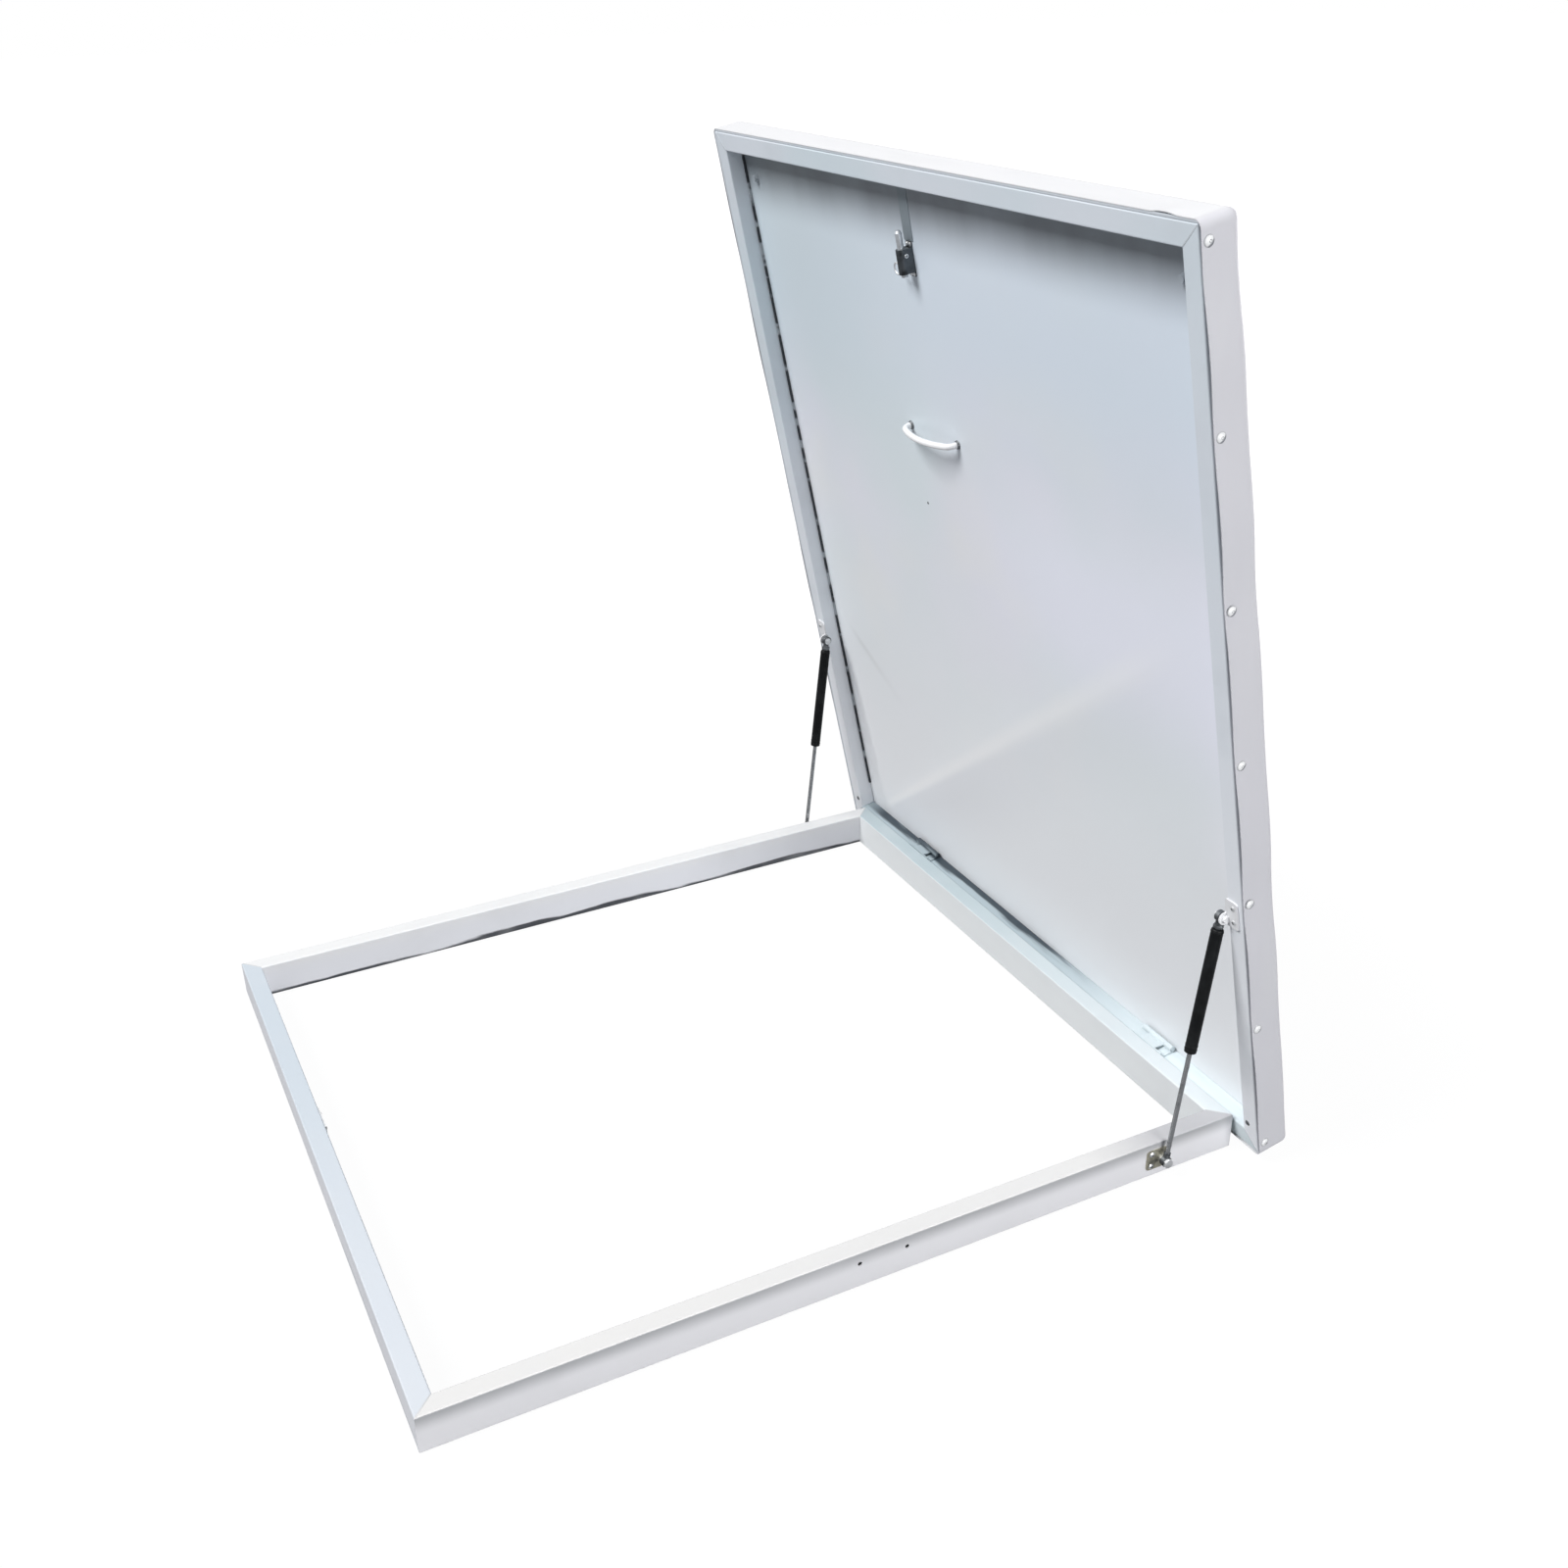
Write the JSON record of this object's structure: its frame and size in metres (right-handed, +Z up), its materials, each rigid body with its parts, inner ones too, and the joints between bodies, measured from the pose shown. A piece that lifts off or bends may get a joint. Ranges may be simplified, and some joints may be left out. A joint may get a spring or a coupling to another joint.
{
  "type": "roof access hatch",
  "caption": "Square roof and ceiling access hatch: tube base frame with an insulated, riveted lid standing open on gas struts, with a bow handle and a ring-pull bolt.",
  "frame": {"origin": "centre of the base frame's opening, on the plane of its underside", "axes": "+X across the hatch along the hinge line, +Y towards the hinges, +Z up"},
  "size_m": [1.049, 1.1017, 1.1567],
  "materials": {
    "base_paint": "satin",
    "lid_paint": "satin",
    "skin_paint": "satin",
    "liner_paint": "satin",
    "handle_paint": "gloss",
    "fibre_board": "matte",
    "black_sealant": "matte",
    "grey_rubber": "matte",
    "black_paint": "satin",
    "rod_steel": "polished",
    "black_plastic": "matte",
    "dark_steel": "satin",
    "yellow_zinc": "satin",
    "zinc_steel": "satin"
  },
  "bodies": {
    "frame": {"base_front_rail": "base_paint", "base_hinge_rail": "base_paint", "base_left_rail": "base_paint", "base_right_rail": "base_paint", "hinge_base_screws": "zinc_steel", "strike_plate": "zinc_steel", "strike_screws": "zinc_steel", "hinge_fixed_leaf_left": "zinc_steel", "hinge_fixed_leaf_right": "zinc_steel", "hinge_pin_left": "zinc_steel", "hinge_pin_right": "zinc_steel", "strut_foot_bracket_left": "yellow_zinc", "strut_foot_bracket_right": "yellow_zinc", "strut_foot_stud_left": "zinc_steel", "strut_foot_stud_right": "zinc_steel", "strut_foot_screws_left": "zinc_steel", "strut_foot_screws_right": "zinc_steel"},
    "lid": {"lid_front_rail": "lid_paint", "lid_hinge_rail": "lid_paint", "lid_left_rail": "lid_paint", "lid_right_rail": "lid_paint", "liner_panel": "liner_paint", "insulation_core": "fibre_board", "weather_skin": "skin_paint", "liner_seal": "black_sealant", "rivets_left": "zinc_steel", "rivets_right": "zinc_steel", "rim_screws": "dark_steel", "stop_buffer_left": "grey_rubber", "stop_buffer_right": "grey_rubber", "hinge_moving_leaf_left": "zinc_steel", "hinge_moving_leaf_right": "zinc_steel", "hinge_lid_screws": "zinc_steel", "strut_head_bracket_left": "lid_paint", "strut_head_bracket_right": "lid_paint", "strut_head_screws_left": "zinc_steel", "strut_head_screws_right": "zinc_steel", "pull_handle": "handle_paint", "handle_rosettes": "dark_steel", "handle_screws": "zinc_steel", "latch_case": "dark_steel", "latch_screws": "zinc_steel"},
    "bolt": {"latch_bolt": "zinc_steel", "latch_ring": "zinc_steel"},
    "rod_left": {"strut_rod_left": "rod_steel", "strut_piston_left": "black_plastic", "strut_foot_eye_left": "dark_steel"},
    "tube_left": {"strut_cylinder_left": "black_paint", "strut_gland_left": "black_plastic", "strut_head_eye_left": "dark_steel", "strut_head_pin_left": "zinc_steel"},
    "rod_right": {"strut_rod_right": "rod_steel", "strut_piston_right": "black_plastic", "strut_foot_eye_right": "dark_steel"},
    "tube_right": {"strut_cylinder_right": "black_paint", "strut_gland_right": "black_plastic", "strut_head_eye_right": "dark_steel", "strut_head_pin_right": "zinc_steel"}
  },
  "joints": [
    {"name": "lid_hinge", "type": "hinge", "parent": "frame", "child": "lid", "pos_m": [0, 0.5453, 0.05], "axis": [1, 0, 0], "range_deg": [0, 78.35], "stiffness_Nm_per_rad": 42, "springref_deg": -51.57},
    {"name": "latch_slide", "type": "slide", "parent": "lid", "child": "bolt", "axis": [0, -0.2019, 0.9794], "range_m": [0, 0.02]},
    {"name": "rod_pivot_left", "type": "hinge", "parent": "frame", "child": "rod_left", "pos_m": [-0.485, 0.414, 0.026], "axis": [1, 0, 0], "range_deg": [0, 96.91]},
    {"name": "tube_slide_left", "type": "slide", "parent": "rod_left", "child": "tube_left", "axis": [0, 0.1203, 0.9927], "range_m": [-0.14617, 0]},
    {"name": "rod_pivot_right", "type": "hinge", "parent": "frame", "child": "rod_right", "pos_m": [0.485, 0.414, 0.026], "axis": [1, 0, 0], "range_deg": [0, 96.91]},
    {"name": "tube_slide_right", "type": "slide", "parent": "rod_right", "child": "tube_right", "axis": [0, 0.1203, 0.9927], "range_m": [-0.14617, 0]}
  ],
  "couplings": [
    {"joint": "rod_pivot_left", "follows": "lid_hinge", "ratio": 1.2369},
    {"joint": "tube_slide_left", "follows": "lid_hinge", "m_per_rad": -0.10689},
    {"joint": "rod_pivot_right", "follows": "lid_hinge", "ratio": 1.2369},
    {"joint": "tube_slide_right", "follows": "lid_hinge", "m_per_rad": -0.10689}
  ]
}
